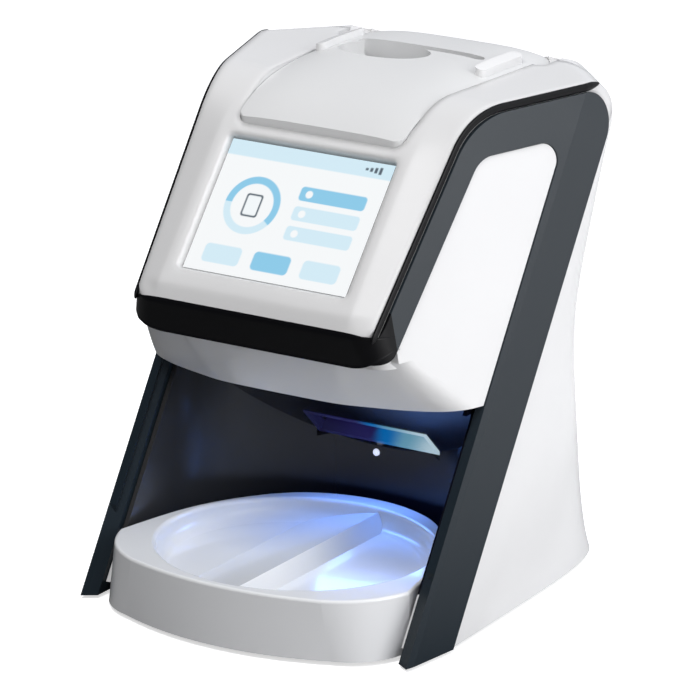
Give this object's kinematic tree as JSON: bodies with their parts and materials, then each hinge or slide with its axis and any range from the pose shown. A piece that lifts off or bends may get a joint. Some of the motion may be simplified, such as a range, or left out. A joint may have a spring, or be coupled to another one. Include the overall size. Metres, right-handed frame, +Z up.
{
  "type": "phosphor plate scanner",
  "caption": "Free-standing scanner for dental phosphor plates: leaning screen head on two legs over an open bay with a pull-out tray, entry slot in the top",
  "frame": {"origin": "on the table under the middle of the body", "axes": "+X right as seen from the front, +Y back, +Z up"},
  "size_m": [0.1708, 0.198, 0.2205],
  "materials": {
    "band_grey": "satin dark slate-grey",
    "chin_black": "satin near-black",
    "shell_white": "gloss white",
    "bay_black": "gloss black",
    "tray_white": "gloss white",
    "lid_grey": "satin light grey",
    "screen_glass": "clear cover glass",
    "inner_metal": "plated sheet",
    "circuit_green": "solder mask",
    "rubber_black": "matt",
    "fastener_steel": "zinc plated",
    "inner_plastic": "moulded black",
    "shaft_steel": "ground",
    "motor_black": "satin black",
    "laser_brass": "turned",
    "mirror_silver": "front-coated",
    "panel_grey": "satin grey",
    "light_clear": "clear, lit from behind"
  },
  "bodies": {
    "body": {"right_side_band": "band_grey", "left_side_band": "band_grey", "chin_band": "chin_black", "screen_bezel": "shell_white", "head_shell": "shell_white", "rear_cover": "shell_white", "bay_liner": "bay_black", "display_glass": "screen_glass", "display_module": "inner_metal", "display_bracket": "inner_metal", "display_board": "circuit_green", "base_plate": "shell_white", "rubber_feet": "rubber_black", "base_screws": "fastener_steel", "right_chassis_plate": "inner_metal", "left_chassis_plate": "inner_metal", "chassis_tie_bars": "inner_metal", "entry_throat": "inner_plastic", "front_plate_guide": "inner_metal", "rear_plate_guide": "inner_metal", "stepper_motor": "motor_black", "drive_belt": "rubber_black", "optics_shelf": "inner_metal", "laser_module": "laser_brass", "mirror_motor": "motor_black", "light_collector": "inner_plastic", "photomultiplier": "motor_black", "erase_lamp_bar": "circuit_green", "main_board": "circuit_green", "power_jack": "inner_plastic", "network_jack": "shaft_steel", "power_switch_body": "inner_plastic", "connector_panel": "panel_grey", "exit_light_guide": "light_clear", "status_led": "light_clear"},
    "tray": {"tray": "tray_white"},
    "lid": {"lid": "lid_grey", "lid_grips": "shell_white"},
    "upper_roller": {"upper_drive_shaft": "shaft_steel", "upper_roller_sleeve": "rubber_black"},
    "lower_roller": {"lower_drive_shaft": "shaft_steel", "lower_roller_sleeve": "rubber_black"},
    "upper_pinch": {"upper_pinch_roller": "inner_plastic"},
    "lower_pinch": {"lower_pinch_roller": "inner_plastic"},
    "motor_rotor": {"motor_pulley": "shaft_steel"},
    "mirror": {"scan_mirror": "mirror_silver"},
    "rocker": {"power_rocker": "inner_plastic"}
  },
  "joints": [
    {"name": "tray_slide", "type": "slide", "parent": "body", "child": "tray", "axis": [0, -1, 0], "range_m": [0, 0.13]},
    {"name": "lid_lift", "type": "slide", "parent": "body", "child": "lid", "axis": [0, 0, 1], "range_m": [0, 0.06]},
    {"name": "upper_roller_spin", "type": "hinge", "parent": "body", "child": "upper_roller", "pos_m": [0, 0.0534, 0.18], "axis": [1, 0, 0], "continuous": true},
    {"name": "lower_roller_spin", "type": "hinge", "parent": "body", "child": "lower_roller", "pos_m": [0, 0.0534, 0.125], "axis": [1, 0, 0], "continuous": true},
    {"name": "upper_pinch_spin", "type": "hinge", "parent": "body", "child": "upper_pinch", "pos_m": [0, 0.0676, 0.18], "axis": [1, 0, 0], "continuous": true},
    {"name": "lower_pinch_spin", "type": "hinge", "parent": "body", "child": "lower_pinch", "pos_m": [0, 0.0676, 0.125], "axis": [1, 0, 0], "continuous": true},
    {"name": "motor_spin", "type": "hinge", "parent": "body", "child": "motor_rotor", "pos_m": [0, 0.04, 0.15], "axis": [1, 0, 0], "continuous": true},
    {"name": "mirror_swing", "type": "hinge", "parent": "body", "child": "mirror", "pos_m": [0, 0.08, 0.15], "axis": [0, 0, 1], "range_deg": [-12, 12]},
    {"name": "rocker_tip", "type": "hinge", "parent": "body", "child": "rocker", "pos_m": [0.028, 0.0875, 0.026], "axis": [1, 0, 0], "range_deg": [-7, 7]}
  ],
  "couplings": [
    {"joint": "lower_roller_spin", "follows": "upper_roller_spin", "ratio": 1},
    {"joint": "upper_pinch_spin", "follows": "upper_roller_spin", "ratio": -1.6},
    {"joint": "lower_pinch_spin", "follows": "upper_roller_spin", "ratio": -1.6},
    {"joint": "motor_spin", "follows": "upper_roller_spin", "ratio": 1.3333}
  ]
}
